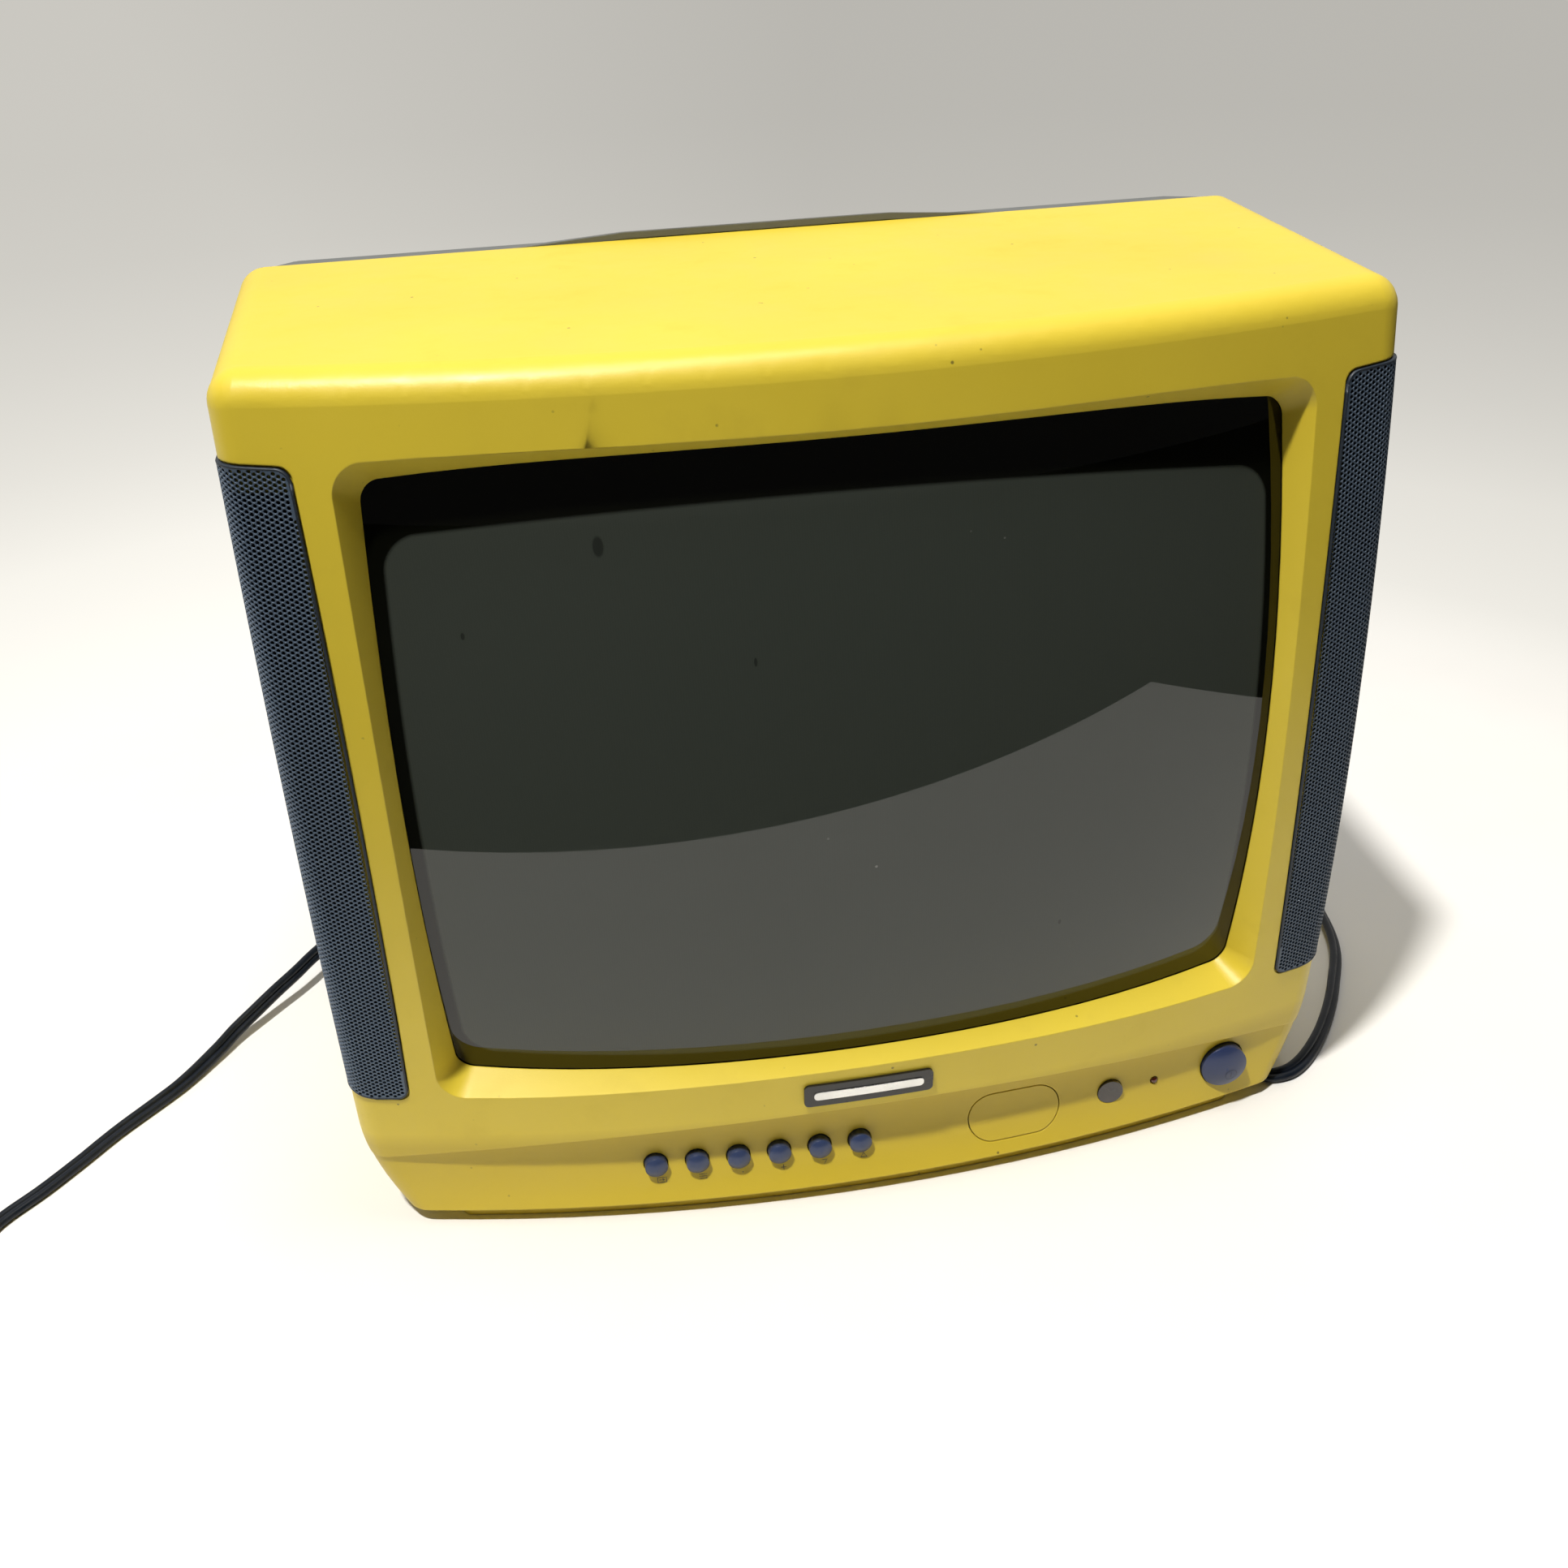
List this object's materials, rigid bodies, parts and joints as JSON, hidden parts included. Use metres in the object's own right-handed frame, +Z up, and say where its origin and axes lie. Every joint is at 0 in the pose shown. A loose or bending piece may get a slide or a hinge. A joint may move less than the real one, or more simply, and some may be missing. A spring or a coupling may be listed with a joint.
{
  "type": "portable television",
  "caption": "Portable colour television with a curved-corner moulded cabinet, bulging picture tube, wrap-round speaker grilles, a row of push buttons and a round power button.",
  "frame": {"origin": "middle of the front plinth's resting face, on the table plane", "axes": "+X to the right seen from the front, +Y from the screen towards the rear, +Z up"},
  "size_m": [0.6205, 0.4316, 0.3215],
  "materials": {
    "yellow_plastic": "fine moulded grain",
    "grille_metal": "satin slate blue paint",
    "badge_black": "gloss",
    "badge_silver": "satin light inlay",
    "button_blue": "satin",
    "power_blue": "gloss",
    "switch_plastic": "moulded",
    "spring_steel": "drawn wire",
    "circuit_board": "phenolic board",
    "zinc_steel": "zinc plated",
    "smoked_window": "smoked gloss",
    "chip_black": "moulded epoxy",
    "lamp_red": "dark red lens",
    "tube_glass": "polished dark tinted glass",
    "phosphor": "matte grey coating",
    "mask_steel": "blackened steel",
    "ferrite": "sintered ferrite",
    "copper": "enamelled copper wire",
    "ring_plastic": "moulded",
    "coil_tape": "wound tape",
    "black_rubber": "soft",
    "lead_red": "silicone sleeve",
    "lead_grey": "insulated wire",
    "basket_steel": "pressed and painted",
    "cone_paper": "pressed paper",
    "dark_plastic": "fine moulded grain",
    "rail_plastic": "moulded",
    "potting_black": "potted",
    "aluminium": "extruded",
    "capacitor_sleeve": "shrink sleeve",
    "transformer_tape": "taped winding",
    "fuse_glass": "clear glass with steel clips",
    "cord_black": "smooth vinyl"
  },
  "bodies": {
    "television": {"anode_cap": "black_rubber", "anode_lead": "lead_red", "av_sockets": "potting_black", "badge_plate": "badge_black", "badge_stripe": "badge_silver", "blanking_insert": "yellow_plastic", "board_screws": "zinc_steel", "capacitors": "capacitor_sleeve", "chassis_rails": "rail_plastic", "circuit_chips": "chip_black", "cord_grip": "black_rubber", "cover_screws": "zinc_steel", "deflection_yoke": "ferrite", "degaussing_coil": "coil_tape", "electron_gun": "mask_steel", "flyback_transformer": "potting_black", "front_cabinet": "yellow_plastic", "heat_sink": "aluminium", "infrared_receiver": "chip_black", "infrared_window": "smoked_window", "key_board": "circuit_board", "key_board_screws": "zinc_steel", "left_speaker_grille": "grille_metal", "line_filter": "ferrite", "main_board": "circuit_board", "mains_cord": "cord_black", "mains_fuse": "fuse_glass", "mains_plug": "cord_black", "neck_board": "circuit_board", "neck_rings": "ring_plastic", "phosphor_screen": "phosphor", "picture_tube_glass": "tube_glass", "power_button_spring": "spring_steel", "power_switch": "switch_plastic", "power_transistors": "chip_black", "rear_cover": "dark_plastic", "rear_feet": "black_rubber", "right_speaker_grille": "grille_metal", "shadow_mask": "mask_steel", "speaker_cones": "cone_paper", "speaker_frames": "basket_steel", "speaker_magnets": "ferrite", "standby_lamp": "lamp_red", "switching_transformer": "transformer_tape", "tact_switches": "switch_plastic", "tension_band": "mask_steel", "tube_screws": "zinc_steel", "tuner": "zinc_steel", "wiring_leads": "lead_grey", "yoke_windings": "copper"},
    "control_button_1": {"control_button_1": "button_blue"},
    "control_button_2": {"control_button_2": "button_blue"},
    "control_button_3": {"control_button_3": "button_blue"},
    "control_button_4": {"control_button_4": "button_blue"},
    "control_button_5": {"control_button_5": "button_blue"},
    "control_button_6": {"control_button_6": "button_blue"},
    "power_button": {"power_button": "power_blue"}
  },
  "joints": [
    {"name": "power_button_press", "type": "slide", "parent": "television", "child": "power_button", "axis": [0, 1, 0], "range_m": [0, 0.004], "stiffness_N_per_m": 350, "springref_m": -0.002, "deforming": ["power_button_spring"]},
    {"name": "control_button_1_press", "type": "slide", "parent": "television", "child": "control_button_1", "axis": [0, 1, 0], "range_m": [0, 0.0008], "stiffness_N_per_m": 800, "springref_m": -0.0005},
    {"name": "control_button_2_press", "type": "slide", "parent": "television", "child": "control_button_2", "axis": [0, 1, 0], "range_m": [0, 0.0008], "stiffness_N_per_m": 800, "springref_m": -0.0005},
    {"name": "control_button_3_press", "type": "slide", "parent": "television", "child": "control_button_3", "axis": [0, 1, 0], "range_m": [0, 0.0008], "stiffness_N_per_m": 800, "springref_m": -0.0005},
    {"name": "control_button_4_press", "type": "slide", "parent": "television", "child": "control_button_4", "axis": [0, 1, 0], "range_m": [0, 0.0008], "stiffness_N_per_m": 800, "springref_m": -0.0005},
    {"name": "control_button_5_press", "type": "slide", "parent": "television", "child": "control_button_5", "axis": [0, 1, 0], "range_m": [0, 0.0008], "stiffness_N_per_m": 800, "springref_m": -0.0005},
    {"name": "control_button_6_press", "type": "slide", "parent": "television", "child": "control_button_6", "axis": [0, 1, 0], "range_m": [0, 0.0008], "stiffness_N_per_m": 800, "springref_m": -0.0005}
  ]
}
